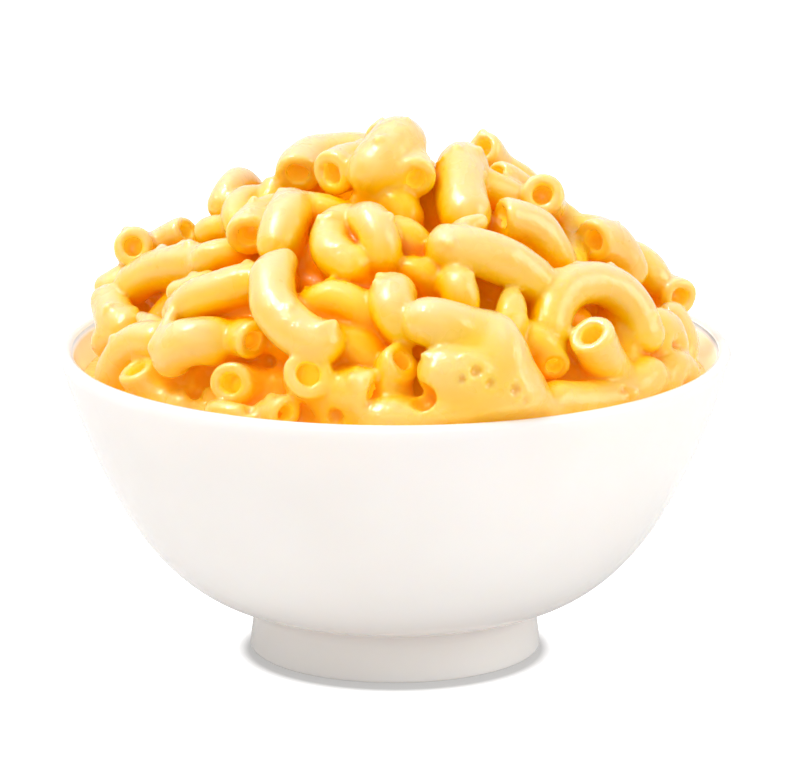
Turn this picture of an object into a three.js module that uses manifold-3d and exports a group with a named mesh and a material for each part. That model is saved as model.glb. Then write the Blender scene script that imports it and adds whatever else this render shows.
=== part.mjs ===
// A footed porcelain bowl heaped with elbow macaroni in cheese sauce.
// Millimetres, +Z up. The origin is the middle of the foot's underside, and the bowl's axis is +Z.
import * as THREE from "three";
import { mergeVertices } from "three/addons/utils/BufferGeometryUtils.js";
import Module from "manifold-3d";

// The bowl. Its wall bulges towards two points of its section, each a radius and a height.
const RIM_RADIUS = 65;
const BOWL_HEIGHT = 60;
const LIP_RADIUS = 1.3;
const BASE_WALL = 3.6;
const UPPER_BULGE = new THREE.Vector2(58.3, 35.5);
const LOWER_BULGE = new THREE.Vector2(47.3, 11.6);
const FOOT_RADIUS = 28.4;
const NECK_RADIUS = 27.5;
const NECK_HEIGHT = 9.5;
const FOOT_RING_WIDTH = 3.2;
const FOOT_EDGE = 0.7;
const RECESS_HEIGHT = 6.2;
const RECESS_DRAFT = 1; // how much narrower the recess is at its top
const FLOOR_HEIGHT = 10.4;
const FLOOR_FLAT = 14; // radius of the inside's nearly flat floor
const FLOOR_DISH = 0.7; // its rise from the middle to the edge
const BOWL_SIDES = 40;
const GAP = 0.3; // between the bowl and what fills it
const OVERHANG = 2.7; // the most that an elbow lies out over the rim

// An elbow of cooked macaroni. The radii of those that a rule lays lie between REST_RADII.
const REST_RADII = [3.6, 4.6];
const BORE_SHARE = 0.47; // of an elbow's radius
const BORE_DEPTH = 4;
const TUBE_SIDES = 6;
const STEP_BEND = THREE.MathUtils.degToRad(55); // the most that an elbow bends from one step to the next

// The mound that the middles of the top elbows lie on, above the rim.
const MOUND_HEIGHT = 39;
const MOUND_RADIUS = 58;
const MOUND_POWER = 1.9;
const CORE_DEPTH = 4.5; // of the sauce between the elbows, below that mound
const CORE_TOP = 86; // the highest that it reaches
const CORE_RIM = 52;
const CORE_RADII = [57, 51, 43, 33, 22, 10, 0];
const CORE_SIDES = 24;

// The front drawing, on which the front's elbows are laid out in millimetres. It faces an eye that is
// EYE_DISTANCE away and EYE_ELEVATION above the horizon. Its x runs to the right, its y runs up, and its
// origin is AIM_HEIGHT up the bowl's axis.
const EYE_DISTANCE = 1265;
const EYE_ELEVATION = THREE.MathUtils.degToRad(14.9);
const AIM_HEIGHT = 30;

// The forms of an elbow's end, and how far its solid runs past the end's point, as a share of its radius.
const OPEN = { bored: true, past: 0 };
const ROUND = { bored: false, past: 0.6 };
const SLIM = { bored: false, past: -0.3 };

// The elbows of the front and the top. A row holds an elbow's first end, its middle and its last end, each
// as x, y and how far it lies towards the eye, then the elbow's radius and the form of its first and its last
// end.
const FRONT_ELBOWS = [
  // The peak.
  [[-18.8, 61.8, 20], [-14, 66, 13], [-5.5, 65.5, 12], 4.3, OPEN, ROUND],
  [[-12.6, 62.6, 33], [-8.6, 64, 28], [-3, 64, 20], 4.4, OPEN, ROUND],
  [[-4, 63.7, 36], [-1.6, 66.4, 35], [1, 68.2, 29], 5.1, ROUND, ROUND],
  [[3.7, 61.2, 39], [3.1, 63.2, 35], [1.2, 66, 30], 4.2, OPEN, ROUND],
  [[-3.6, 69.3, 18], [-0.8, 67.8, 14], [1.5, 64, 8], 3.4, OPEN, ROUND],
  [[13.8, 54.5, 38], [12.8, 59, 33], [13.2, 63.4, 26], 5.2, ROUND, ROUND],
  [[16.8, 67.2, 14], [18.8, 64.5, 9], [20.3, 60, 4], 3.4, OPEN, ROUND],
  // The right shoulder.
  [[20, 62, 22], [23, 61, 19], [26.5, 57, 16], 3.1, OPEN, ROUND],
  [[18, 62.5, 10], [22.3, 61.6, 8], [27, 57.5, 6], 3.6, ROUND, ROUND],
  [[28.6, 58.5, 27], [29, 57, 19], [30, 54.5, 10], 4.1, OPEN, ROUND],
  [[20.8, 53.6, 38], [26, 52.3, 36], [31, 45.5, 33], 4.2, OPEN, ROUND],
  [[10.3, 48, 49], [19, 46.2, 49], [28.3, 39.8, 44], 4.5, ROUND, ROUND],
  [[38.3, 49.2, 22], [42.3, 48.2, 17], [45, 43.5, 14], 4.1, OPEN, ROUND],
  [[35.9, 50.5, 14], [37.8, 51.3, 11], [41, 50.3, 5], 3.3, ROUND, ROUND],
  [[50.6, 41.8, 6], [48.3, 44.9, 5], [43.5, 46.3, 4], 3.3, ROUND, ROUND],
  [[55.8, 38, 8], [53, 39, 3], [48, 39.5, -5], 3.8, OPEN, ROUND],
  // The right side, down to the rim.
  [[30, 32.8, 48], [39.3, 41.1, 39], [48.2, 31.5, 35], 4.2, ROUND, ROUND],
  [[38, 31.6, 52], [40, 27.5, 47], [42.3, 22.5, 40], 4.4, OPEN, ROUND],
  [[31.8, 17.8, 53], [40.5, 18.2, 46], [48.8, 22.5, 37], 4.2, ROUND, ROUND],
  [[50, 28.8, 30], [52.7, 31.6, 25], [53, 27, 24], 3.9, ROUND, ROUND],
  [[54, 34, 12], [55.6, 31, 13], [55.3, 27, 16], 3.1, ROUND, ROUND],
  [[52.3, 20.5, 32], [55.5, 23.5, 25], [56, 20.5, 24], 3.3, ROUND, ROUND],
  [[31.3, 25.2, 52], [28.5, 26.8, 48], [24.5, 28, 46], 3.2, OPEN, ROUND],
  // The left shoulder.
  [[-33.2, 56.5, 14], [-32, 59.2, 12], [-28, 58.3, 6], 3.2, ROUND, ROUND],
  [[-30.5, 52, 24], [-29.8, 56.6, 19], [-25.5, 56.3, 14], 3.1, ROUND, ROUND],
  [[-28.2, 50, 36], [-26.3, 53, 30], [-21, 54.5, 24], 4.5, OPEN, ROUND],
  [[-22.6, 49, 42], [-21.5, 52.5, 40], [-20.2, 55.3, 34], 4.5, ROUND, ROUND],
  [[-17, 55.6, 32], [-13, 55, 34], [-8.8, 53, 34], 3.6, ROUND, ROUND],
  [[-51, 48.2, 10], [-50, 47.7, 2], [-47, 47.5, -8], 3.9, OPEN, ROUND],
  [[-40.6, 51.5, 8], [-43, 50.2, 6], [-47, 47.5, 4], 3.2, OPEN, ROUND],
  [[-37.2, 45, 27], [-35.3, 46.2, 28], [-31, 46.2, 28], 3.2, ROUND, ROUND],
  [[-55.7, 40, 6], [-53.5, 41.2, 6], [-49, 43, 4], 3.2, ROUND, ROUND],
  [[-51, 40.7, 12], [-46, 43.6, 17], [-38, 44.5, 24], 4.1, ROUND, ROUND],
  [[-55.8, 37, 12], [-54.6, 34.5, 16], [-52.3, 32, 20], 4.0, ROUND, ROUND],
  // The left side, down to the rim.
  [[-44, 33.5, 34], [-33.5, 39.5, 43], [-23, 41, 45], 4.1, SLIM, ROUND],
  [[-43.2, 27.3, 43], [-39.8, 29.8, 46], [-35.5, 29.8, 46], 4.6, ROUND, ROUND],
  [[-46.8, 29.6, 35], [-52, 28, 30], [-54.6, 22.5, 27], 3.8, ROUND, ROUND],
  [[-51, 24.3, 37], [-47.5, 20, 36], [-41, 16.5, 41], 3.8, OPEN, ROUND],
  [[-32.2, 21.6, 53], [-27.5, 20.9, 48], [-20.5, 20.2, 49], 4.3, OPEN, ROUND],
  [[-16.8, 23.3, 63], [-16.7, 22, 57], [-16.5, 19, 51], 4.6, OPEN, ROUND],
  [[-4.2, 19, 62], [-8.5, 19.9, 60], [-13.5, 20, 56], 4.6, OPEN, ROUND],
  [[-20.8, 15.2, 60], [-23.4, 15.6, 57], [-26.5, 13, 54], 3.3, OPEN, ROUND],
  [[-27.3, 29.8, 52], [-30, 30.3, 48], [-33.5, 28.5, 43], 3.5, OPEN, ROUND],
  // The middle, from the top down to the rim.
  [[-5, 56.6, 33], [-0.5, 56.6, 36], [1.9, 53.2, 37], 3.9, ROUND, ROUND],
  [[-9.5, 52.5, 42], [-12.6, 48.3, 47], [-8.8, 44.5, 50], 4.1, ROUND, ROUND],
  [[-5.8, 53, 45], [-3, 50, 49], [-2.8, 45.5, 48], 3.8, ROUND, ROUND],
  [[-1.5, 49.8, 43], [2.5, 49.6, 44], [5, 46.8, 43], 3.7, ROUND, ROUND],
  [[-19.6, 46.5, 47], [-23, 35.5, 56], [-14.2, 29.6, 60], 4.5, SLIM, ROUND],
  [[-15.8, 35.8, 52], [-11, 37.5, 54], [-4.5, 31, 54], 3.9, ROUND, ROUND],
  [[-13, 30, 55], [-8.5, 29, 57], [-3.8, 24.5, 57], 3.8, ROUND, ROUND],
  [[-0.3, 38.5, 56], [0.2, 35, 59], [4.5, 31.5, 56], 4.5, ROUND, ROUND],
  [[6.3, 33.5, 63], [11, 32.8, 63], [17.5, 30, 58], 4.6, ROUND, ROUND],
  [[11, 41, 50], [12.7, 39.8, 53], [12.3, 35.5, 51], 3.6, ROUND, ROUND],
  [[22.3, 39.3, 49], [22.5, 34.5, 53], [21.5, 28, 52], 3.3, SLIM, ROUND],
  [[18.6, 33.5, 59], [20.3, 28, 63], [25, 20.5, 59], 4.6, SLIM, ROUND],
  [[9.3, 23.5, 65], [14, 23.8, 65], [20, 21.5, 62], 4.0, ROUND, ROUND],
  [[1.8, 25.8, 63], [-0.3, 22.3, 60], [0.5, 17, 60], 3.8, OPEN, ROUND],
  [[11, 17, 62], [17, 17.2, 61], [25, 18, 58], 4.3, ROUND, ROUND],
  // Behind the peak.
  [[-9, 61.5, 2], [-4, 62.6, -4], [0, 60.5, -14], 4.3, ROUND, OPEN],
  [[2, 60, 5], [7, 58.8, -3], [13.5, 60, -5], 4.2, OPEN, ROUND],
  [[12.5, 62.5, 10], [18, 61, 5], [21.5, 57, -2], 4.3, ROUND, OPEN],
  [[6, 59.2, -11], [12, 60, -13], [17, 57, -20], 4.3, ROUND, ROUND],
  [[-13, 60, -6], [-9, 60.5, -14], [-10, 56.5, -23], 4.3, OPEN, ROUND],
  [[24, 55, -4], [22, 56.5, -11], [26, 53, -17], 4.2, OPEN, ROUND],
  [[5, 56, 14], [10, 57, 8], [16, 55, 4], 4.0, ROUND, ROUND],
];

// Smaller things that show between those.
const MORE_ELBOWS = [
  [[33, 53, 11], [33.5, 49, 16], [34, 44, 24], 3.5, ROUND, ROUND],
  [[-36.2, 50.8, 17], [-35, 51.5, 18], [-31.5, 51, 20], 2.8, ROUND, ROUND],
  [[-23.2, 60.3, 16], [-24, 57.5, 18], [-25, 54, 20], 2.7, OPEN, ROUND],
  [[-43, 39.2, 30], [-40.3, 39.8, 32], [-36.5, 41, 32], 2.4, OPEN, ROUND],
  [[-49.8, 34.6, 26], [-47.8, 33.3, 30], [-44, 31, 33], 2.2, SLIM, ROUND],
  [[-35.2, 16, 54], [-32.5, 15.5, 56], [-28, 14, 57], 2.3, ROUND, ROUND],
  [[-56, 29.5, 17], [-55, 30.5, 18], [-52.5, 28.5, 20], 3.2, ROUND, ROUND],
  [[3, 43.3, 48], [5.2, 42.8, 49], [6.8, 39.5, 47], 3.1, ROUND, ROUND],
  [[-1, 14.5, 63], [6, 13.8, 63], [14, 14.5, 62], 3.5, ROUND, ROUND],
  [[42.5, 34.5, 33], [43.8, 31, 35], [44.8, 26, 37], 3.2, ROUND, ROUND],
  [[26, 31.5, 51], [28, 30, 52], [31, 28.5, 49], 2.3, ROUND, ROUND],
  [[18, 59.5, 26], [21, 58.5, 24], [23.5, 56.5, 19], 3.6, ROUND, ROUND],
];

// The other elbows of the sides and the back, each the least crowded of many tries all over the mound.
const REST_COUNT = 30;
const TRIES = 150;
const SEED = 71;
const REST_LENGTH = 27;
const REST_REACH = 53; // of their middles, from the bowl's axis
const REST_LIFT = [-4, 0]; // from the mound
const REST_BEND = [0.9, 2.6]; // in radians
const REST_ROLL = [-0.4, 1.2]; // of the bend's plane out of the slope, in radians
const SAMPLES = 5; // the steps between an elbow's points that are compared
const CLEAR = 9.2; // a try loses for each pair of its points and a laid elbow's that lie closer
const REST_FRONT = -4; // these elbows stay behind this y
const OVER_COST = 60; // what a try loses for each millimetre over the skyline or past REST_FRONT
const REST_ENDS = [[OPEN, ROUND], [ROUND, OPEN], [OPEN, OPEN], [ROUND, SLIM]];

// The heap's top edge on the front drawing, less an elbow's radius, which no elbow laid by the rule passes.
const SKYLINE = [
  [-60, 30.4], [-54, 41.4], [-45, 44.4], [-37, 47.4], [-28, 53.4], [-18, 60.4], [-8, 63.4], [3, 62.4],
  [6.8, 59.4], [12, 60.4], [20, 58.4], [30, 52.4], [34, 47.4], [42, 46.4], [50, 39.4], [58, 30.4], [61, 22.4],
];

// Numbers that are the same on every run.
class Dice {
  constructor(seed) {
    this.state = seed;
  }
  random() {
    this.state = (this.state * 48271) % 2147483647;
    return this.state / 2147483647;
  }
  between([low, high]) {
    return low + (high - low) * this.random();
  }
}

const moundTop = (radius) => BOWL_HEIGHT + MOUND_HEIGHT * (1 - (radius / MOUND_RADIUS) ** MOUND_POWER);

const ahead = new THREE.Vector3(0, Math.cos(EYE_ELEVATION), -Math.sin(EYE_ELEVATION));
const up = new THREE.Vector3(0, Math.sin(EYE_ELEVATION), Math.cos(EYE_ELEVATION));
const eye = new THREE.Vector3(0, 0, AIM_HEIGHT).addScaledVector(ahead, -EYE_DISTANCE);

// The point that shows at (x, y) of the front drawing and lies this far towards the eye.
function offDrawing([x, y, depth]) {
  const line = ahead.clone().multiplyScalar(EYE_DISTANCE).addScaledVector(up, y);
  line.x += x;
  return eye.clone().addScaledVector(line, (EYE_DISTANCE - depth) / EYE_DISTANCE);
}

function skyline(x) {
  const next = SKYLINE.findIndex(([right]) => right > x);
  if (next < 1) return SKYLINE.at(next)[1];
  const [[x0, y0], [x1, y1]] = SKYLINE.slice(next - 1, next + 1);
  return THREE.MathUtils.mapLinear(x, x0, x1, y0, y1);
}

// How far a point lies over the skyline and in front of REST_FRONT.
function passedBy(point) {
  const sight = point.clone().sub(eye);
  const near = EYE_DISTANCE / sight.dot(ahead);
  const over = sight.dot(up) * near - skyline(sight.x * near);
  return Math.max(0, over) + Math.max(0, REST_FRONT - point.y);
}

// A curve along the arc through three points, which can run past either end.
class Arc extends THREE.Curve {
  constructor(first, middle, last) {
    super();
    const a = middle.clone().sub(first);
    const b = last.clone().sub(first);
    const axis = a.clone().cross(b);
    const size = 2 * axis.lengthSq();
    const centre = first
      .clone()
      .addScaledVector(axis.clone().cross(a), b.lengthSq() / size)
      .addScaledVector(b.clone().cross(axis), a.lengthSq() / size);
    this.centre = centre;
    this.axis = axis.normalize();
    this.spoke = first.clone().sub(centre);
    const end = last.clone().sub(centre);
    const turned = this.spoke.clone().cross(end).dot(this.axis);
    this.angle = Math.atan2(turned, this.spoke.dot(end));
    if (this.angle < 0) this.angle += 2 * Math.PI;
    this.before = 0;
    this.after = 0;
  }
  runPast(before, after) {
    const radius = this.spoke.length();
    this.before = before / radius;
    this.after = after / radius;
    return this;
  }
  getPoint(t, target = new THREE.Vector3()) {
    const turn = THREE.MathUtils.lerp(-this.before, this.angle + this.after, t);
    return target.copy(this.spoke).applyAxisAngle(this.axis, turn).add(this.centre);
  }
}

// An elbow laid with its middle at a point of the mound, turned and bent within the mound's slope.
function layElbow(radius, azimuth, lift, turn, bend, roll) {
  const steepness = MOUND_HEIGHT * MOUND_POWER * (radius / MOUND_RADIUS) ** (MOUND_POWER - 1) / MOUND_RADIUS;
  const slope = Math.atan(steepness);
  const out = new THREE.Vector3(Math.cos(azimuth), Math.sin(azimuth), 0);
  const normal = out.clone().multiplyScalar(Math.sin(slope)).add(new THREE.Vector3(0, 0, Math.cos(slope)));
  const middle = out.multiplyScalar(radius).setZ(moundTop(radius)).addScaledVector(normal, lift);
  const round = new THREE.Vector3(-Math.sin(azimuth), Math.cos(azimuth), 0);
  const along = round.applyAxisAngle(normal, turn);
  const inward = along.clone().cross(normal).applyAxisAngle(along, roll);
  const reach = (REST_LENGTH / bend) * Math.sin(bend / 2);
  const sag = (REST_LENGTH / bend) * (1 - Math.cos(bend / 2));
  const end = (side) => middle.clone().addScaledVector(along, side * reach).addScaledVector(inward, sag);
  return new Arc(end(-1), middle, end(1));
}

const samples = (arc) => arc.getPoints(SAMPLES);

// How much an elbow's points crowd those of the elbows that are laid already, and pass their bounds.
function cost(arc, laid) {
  let sum = 0;
  for (const p of samples(arc)) {
    for (const q of laid) sum += Math.max(0, CLEAR - p.distanceTo(q)) ** 2;
    sum += OVER_COST * passedBy(p);
  }
  return sum;
}

function tryElbow(dice) {
  return layElbow(
    REST_REACH * Math.sqrt(dice.random()),
    dice.between([0, 2 * Math.PI]),
    dice.between(REST_LIFT),
    dice.between([0, Math.PI]),
    dice.between(REST_BEND),
    dice.between(REST_ROLL),
  );
}

function restElbows(laid) {
  const dice = new Dice(SEED);
  const sizes = new Dice(SEED + 2);
  return Array.from({ length: REST_COUNT }, (_, i) => {
    const tries = Array.from({ length: TRIES }, () => tryElbow(dice));
    const costs = tries.map((arc) => cost(arc, laid));
    const arc = tries[costs.indexOf(Math.min(...costs))];
    laid.push(...samples(arc));
    return { arc, radius: sizes.between(REST_RADII), ends: REST_ENDS[i % REST_ENDS.length] };
  });
}

const wasm = await Module();
wasm.setup();

function solidOf(geometry) {
  geometry.deleteAttribute("normal");
  geometry.deleteAttribute("uv");
  const merged = mergeVertices(geometry, 1e-4);
  const vertProperties = merged.attributes.position.array;
  return new wasm.Manifold(new wasm.Mesh({ numProp: 3, vertProperties, triVerts: merged.index.array }));
}

function geometryOf(solid) {
  const mesh = solid.getMesh();
  const geometry = new THREE.BufferGeometry();
  geometry.setAttribute("position", new THREE.BufferAttribute(mesh.vertProperties, 3));
  geometry.setIndex(new THREE.BufferAttribute(mesh.triVerts, 1));
  geometry.computeVertexNormals();
  return geometry;
}

function tube(path, radius, sides, steps) {
  const section = new THREE.Shape().absarc(0, 0, radius, 0, 2 * Math.PI);
  return solidOf(new THREE.ExtrudeGeometry(section, { extrudePath: path, steps, curveSegments: sides / 2 }));
}

// The blind hole in an elbow's end, where t is 0 at the first end and 1 at the last.
function bore(arc, t, radius) {
  const mouth = arc.getPoint(t);
  const outward = arc.getTangent(t).multiplyScalar(t === 0 ? -1 : 1);
  const bottom = mouth.clone().addScaledVector(outward, -BORE_DEPTH);
  const path = new THREE.LineCurve3(bottom, mouth.addScaledVector(outward, 1));
  return tube(path, radius * BORE_SHARE, TUBE_SIDES, 1);
}

function elbow({ arc, radius, ends }) {
  arc.runPast(...ends.map(({ past }) => past * radius));
  let solid = tube(arc, radius, TUBE_SIDES, Math.ceil(arc.angle / STEP_BEND));
  ends.forEach(({ bored }, t) => {
    if (bored) solid = solid.subtract(bore(arc, t, radius));
  });
  return solid;
}

// The wall's outline from the lip down to the foot, moved inwards by depth(t), where t runs from 0 to 1.
function wallLine(depth, steps) {
  const curve = new THREE.CubicBezierCurve(
    new THREE.Vector2(RIM_RADIUS, BOWL_HEIGHT - LIP_RADIUS),
    UPPER_BULGE,
    LOWER_BULGE,
    new THREE.Vector2(NECK_RADIUS, NECK_HEIGHT),
  );
  return Array.from({ length: steps + 1 }, (_, i) => {
    const t = i / steps;
    const along = curve.getTangent(t);
    return curve.getPoint(t).add(new THREE.Vector2(along.y, -along.x).multiplyScalar(depth(t)));
  });
}

// The outline of the bowl's hollow, from the rim to the axis, moved inwards by extra.
function hollowLine(extra) {
  const wall = wallLine((t) => THREE.MathUtils.lerp(2 * LIP_RADIUS, BASE_WALL, t) + extra, 8);
  const edge = new THREE.Vector2(FLOOR_FLAT, FLOOR_HEIGHT + FLOOR_DISH + extra);
  return [...wall, edge, new THREE.Vector2(0, FLOOR_HEIGHT + extra)];
}

// A lathe of an outline that starts and ends on the axis, listed from the bottom up.
const lathe = (line, sides) => solidOf(new THREE.LatheGeometry(line, sides).rotateX(Math.PI / 2));

function bowl() {
  const outer = wallLine(() => 0, 10).reverse();
  const lip = [0.25, 0.5, 0.75].map((turn) => {
    const out = new THREE.Vector2(LIP_RADIUS, 0).rotateAround(new THREE.Vector2(), turn * Math.PI);
    return out.add(new THREE.Vector2(RIM_RADIUS - LIP_RADIUS, BOWL_HEIGHT - LIP_RADIUS));
  });
  const inside = FOOT_RADIUS - FOOT_RING_WIDTH;
  const foot = [
    new THREE.Vector2(0, RECESS_HEIGHT),
    new THREE.Vector2(inside - RECESS_DRAFT, RECESS_HEIGHT - FOOT_EDGE),
    new THREE.Vector2(inside, FOOT_EDGE),
    new THREE.Vector2(inside + FOOT_EDGE, 0),
    new THREE.Vector2(FOOT_RADIUS - FOOT_EDGE, 0),
    new THREE.Vector2(FOOT_RADIUS, FOOT_EDGE),
    new THREE.Vector2(NECK_RADIUS, NECK_HEIGHT / 2),
  ];
  return lathe([...foot, ...outer, ...lip, ...hollowLine(0)], BOWL_SIDES);
}

// The bowl's hollow and the space over it, which widens over the rim, less the gap.
function cavity() {
  const line = hollowLine(GAP).reverse();
  const inner = line.at(-1).x;
  const outer = inner + OVERHANG;
  const bottom = BOWL_HEIGHT + GAP;
  const top = BOWL_HEIGHT + 2 * MOUND_HEIGHT;
  const over = [[inner, bottom], [outer, bottom + OVERHANG], [outer, top], [0, top]];
  return lathe([...line, ...over.map(([x, y]) => new THREE.Vector2(x, y))], BOWL_SIDES);
}

// The sauce under and between the elbows. It fills the bowl's hollow up to CORE_RIM.
function core() {
  const line = hollowLine(2 * GAP).reverse().filter((p) => p.y < CORE_RIM);
  const height = (radius) => Math.min(moundTop(radius) - CORE_DEPTH, CORE_TOP);
  const mound = CORE_RADII.map((radius) => new THREE.Vector2(radius, height(radius)));
  return lathe([...line, ...mound], CORE_SIDES);
}

function drawnElbow([first, middle, last, radius, ...ends]) {
  return { arc: new Arc(...[first, middle, last].map(offDrawing)), radius, ends };
}

// The elbows fused on their core and cut to the bowl's hollow. The largest body leaves loose scraps out, and
// it has its sealed holes filled.
function heap() {
  const front = FRONT_ELBOWS.map(drawnElbow);
  const laid = front.flatMap(({ arc }) => samples(arc));
  const elbows = [...front, ...MORE_ELBOWS.map(drawnElbow), ...restElbows(laid)].map(elbow);
  const fused = wasm.Manifold.union([core(), ...elbows]).intersect(cavity());
  return fused.decompose().reduce((a, b) => (a.volume() > b.volume() ? a : b));
}

function part(name, solid, color, roughness) {
  const material = new THREE.MeshStandardMaterial({ color, roughness, metalness: 0 });
  const mesh = new THREE.Mesh(geometryOf(solid), material);
  mesh.name = name;
  return mesh;
}

const group = new THREE.Group();
group.add(part("bowl", bowl(), 0xf3efeb, 0.15));
group.add(part("macaroni_heap", heap(), 0xfcc65c, 0.35));

export default group;
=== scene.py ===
"""A footed porcelain bowl heaped with elbow macaroni in a glossy cheese sauce."""
import math

import bpy
import numpy as np
import openvdb
from mathutils import Matrix, Vector


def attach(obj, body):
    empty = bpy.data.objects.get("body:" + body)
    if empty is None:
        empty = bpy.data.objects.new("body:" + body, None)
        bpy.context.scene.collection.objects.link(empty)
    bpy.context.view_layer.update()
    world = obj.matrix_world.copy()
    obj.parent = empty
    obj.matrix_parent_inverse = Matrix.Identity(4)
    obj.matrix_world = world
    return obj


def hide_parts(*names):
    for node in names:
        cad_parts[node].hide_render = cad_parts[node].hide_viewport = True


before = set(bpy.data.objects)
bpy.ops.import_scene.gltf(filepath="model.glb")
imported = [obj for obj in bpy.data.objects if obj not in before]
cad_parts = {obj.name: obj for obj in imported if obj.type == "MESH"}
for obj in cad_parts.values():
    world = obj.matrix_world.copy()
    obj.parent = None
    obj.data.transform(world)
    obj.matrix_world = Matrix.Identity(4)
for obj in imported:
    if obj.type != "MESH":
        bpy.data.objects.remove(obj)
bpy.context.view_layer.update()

MM = 0.001

# The bowl, in millimetres. Its wall bulges towards two points of its section, each a radius and a height.
RIM_RADIUS = 65
BOWL_HEIGHT = 60
LIP_RADIUS = 1.3
BASE_WALL = 3.6
UPPER_BULGE = (58.3, 35.5)
LOWER_BULGE = (47.3, 11.6)
FOOT_RADIUS = 28.4
NECK_RADIUS = 27.5
NECK_HEIGHT = 9.5
NECK_FILLET = 2.6
FOOT_RING_WIDTH = 3.2
FOOT_EDGE = 0.7
RECESS_HEIGHT = 6.2
RECESS_DRAFT = 1
RECESS_ROUNDING = 1.2
FLOOR_HEIGHT = 10.4
FLOOR_FLAT = 14
FLOOR_DISH = 0.7
GAP = 0.3  # between the bowl and what fills it
OVERHANG = 2.7  # the most that an elbow lies out over the rim

# How finely the bowl's outline is cut into points, and its round into sides.
BOWL_SIDES = 192
WALL_STEPS = 48
LIP_STEPS = 13
CORNER_STEPS = 4
NECK_STEPS = 6
NECK_SKIP = 3  # the wall's lowest points, in whose place the neck's fillet comes

# The mound that the middles of the top elbows lie on, above the rim.
MOUND_HEIGHT = 39
MOUND_RADIUS = 58
MOUND_POWER = 1.9

# The camera looks from EYE_DISTANCE away and EYE_ELEVATION above the horizon at a point AIM_HEIGHT up the
# bowl's axis, and is then turned by PAN and TILT to put the bowl where the picture has it.
EYE_DISTANCE = 1265
EYE_ELEVATION = math.radians(14.9)
AIM_HEIGHT = 30
LENS = 292.5
SENSOR = 36
PAN = math.radians(0.0434)
TILT = math.radians(0.961)
CLIP_START = 0.05  # in metres

# The ends of an elbow: cut off, with the bore open; rounded by sauce beyond the end's point; or drawn out
# to a slim tip at that point.
OPEN, ROUND, SLIM = "open", "round", "slim"

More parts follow.
